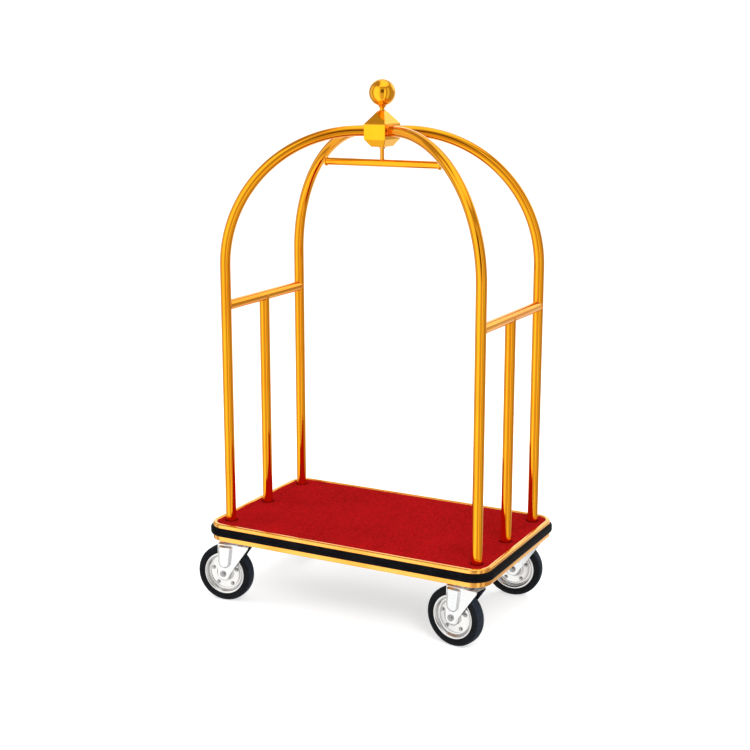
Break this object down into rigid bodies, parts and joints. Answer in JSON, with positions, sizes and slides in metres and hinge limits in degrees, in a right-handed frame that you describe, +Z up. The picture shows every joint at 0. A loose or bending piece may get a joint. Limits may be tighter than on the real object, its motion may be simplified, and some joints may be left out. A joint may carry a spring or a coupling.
{
  "type": "hotel luggage cart",
  "caption": "Birdcage bellman's luggage cart: carpeted platform with bumper, bent gold tube cage meeting at a hub with ball finial, garment rail, swivel casters.",
  "frame": {"origin": "on the floor, under the middle of the platform", "axes": "+X along the platform's length, +Z up, -Y towards the front side"},
  "size_m": [1.1291, 0.6879, 1.8235],
  "materials": {
    "gold_tube": "mirror-polished gold titanium-nitride plating",
    "gold_trim": "polished gold plated extrusion",
    "gold_cast": "polished gold plated casting",
    "gold_ball": "mirror-polished gold plated spun sheet",
    "gold_fasteners": "gold plated, slightly dulled",
    "red_carpet": "short cut pile, faintly mottled",
    "bumper_rubber": "extruded, satin",
    "tyre_rubber": "moulded, satin",
    "zinc_forks": "bright zinc plated pressed steel",
    "wheel_steel": "bright pressed disc",
    "zinc_fasteners": "zinc plated",
    "steel_inserts": "plain turned steel",
    "steel_plate": "black powder coat",
    "plywood": "sealed plywood"
  },
  "bodies": {
    "root": {"deck_board": "plywood", "carpet": "red_carpet", "top_trim": "gold_trim", "bumper": "bumper_rubber", "bottom_trim": "gold_trim", "deck_plate": "steel_plate", "stiffeners": "steel_plate", "trim_screws": "zinc_fasteners", "post_front_left": "gold_tube", "post_front_right": "gold_tube", "post_rear_left": "gold_tube", "post_rear_right": "gold_tube", "mid_post_left": "gold_tube", "mid_post_right": "gold_tube", "crossbar_left": "gold_tube", "crossbar_right": "gold_tube", "post_plugs": "steel_inserts", "post_bolts": "zinc_fasteners", "hub_block": "gold_cast", "hub_cap": "gold_cast", "hub_screws": "gold_fasteners", "finial_stud": "steel_inserts", "finial_neck": "gold_cast", "finial_ball": "gold_ball", "hanger_rod": "gold_tube", "rod_nut": "gold_fasteners", "garment_rail": "gold_tube", "rail_insert": "steel_inserts", "rail_end_caps": "gold_cast", "caster_plate_fl": "zinc_forks", "caster_plate_fr": "zinc_forks", "caster_plate_rl": "zinc_forks", "caster_plate_rr": "zinc_forks", "plate_fasteners": "zinc_fasteners", "kingpins": "zinc_fasteners", "swivel_bearings": "steel_inserts"},
    "swivel_fl": {"fork_fl": "zinc_forks", "axle_fl": "zinc_fasteners"},
    "wheel_fl": {"tyre_fl": "tyre_rubber", "wheel_disc_fl": "wheel_steel", "wheel_bearing_fl": "steel_inserts", "wheel_bolts_fl": "zinc_fasteners"},
    "swivel_fr": {"fork_fr": "zinc_forks", "axle_fr": "zinc_fasteners"},
    "wheel_fr": {"tyre_fr": "tyre_rubber", "wheel_disc_fr": "wheel_steel", "wheel_bearing_fr": "steel_inserts", "wheel_bolts_fr": "zinc_fasteners"},
    "swivel_rl": {"fork_rl": "zinc_forks", "axle_rl": "zinc_fasteners"},
    "wheel_rl": {"tyre_rl": "tyre_rubber", "wheel_disc_rl": "wheel_steel", "wheel_bearing_rl": "steel_inserts", "wheel_bolts_rl": "zinc_fasteners"},
    "swivel_rr": {"fork_rr": "zinc_forks", "axle_rr": "zinc_fasteners"},
    "wheel_rr": {"tyre_rr": "tyre_rubber", "wheel_disc_rr": "wheel_steel", "wheel_bearing_rr": "steel_inserts", "wheel_bolts_rr": "zinc_fasteners"}
  },
  "joints": [
    {"name": "swivel_front_left", "type": "hinge", "parent": "root", "child": "swivel_fl", "pos_m": [-0.446, -0.261, 0.22], "axis": [0, 0, 1], "continuous": true},
    {"name": "spin_front_left", "type": "hinge", "parent": "swivel_fl", "child": "wheel_fl", "pos_m": [-0.48561, -0.26657, 0.102], "axis": [-0.1392, 0.9903, 0], "continuous": true},
    {"name": "swivel_front_right", "type": "hinge", "parent": "root", "child": "swivel_fr", "pos_m": [0.446, -0.261, 0.22], "axis": [0, 0, 1], "continuous": true},
    {"name": "spin_front_right", "type": "hinge", "parent": "swivel_fr", "child": "wheel_fr", "pos_m": [0.40649, -0.25474, 0.102], "axis": [0.1564, 0.9877, 0], "continuous": true},
    {"name": "swivel_rear_left", "type": "hinge", "parent": "root", "child": "swivel_rl", "pos_m": [-0.446, 0.261, 0.22], "axis": [0, 0, 1], "continuous": true},
    {"name": "spin_rear_left", "type": "hinge", "parent": "swivel_rl", "child": "wheel_rl", "pos_m": [-0.47752, 0.28563, 0.102], "axis": [0.6157, 0.788, 0], "continuous": true},
    {"name": "swivel_rear_right", "type": "hinge", "parent": "root", "child": "swivel_rr", "pos_m": [0.446, 0.261, 0.22], "axis": [0, 0, 1], "continuous": true},
    {"name": "spin_rear_right", "type": "hinge", "parent": "swivel_rr", "child": "wheel_rr", "pos_m": [0.40639, 0.25543, 0.102], "axis": [-0.1392, 0.9903, 0], "continuous": true}
  ]
}
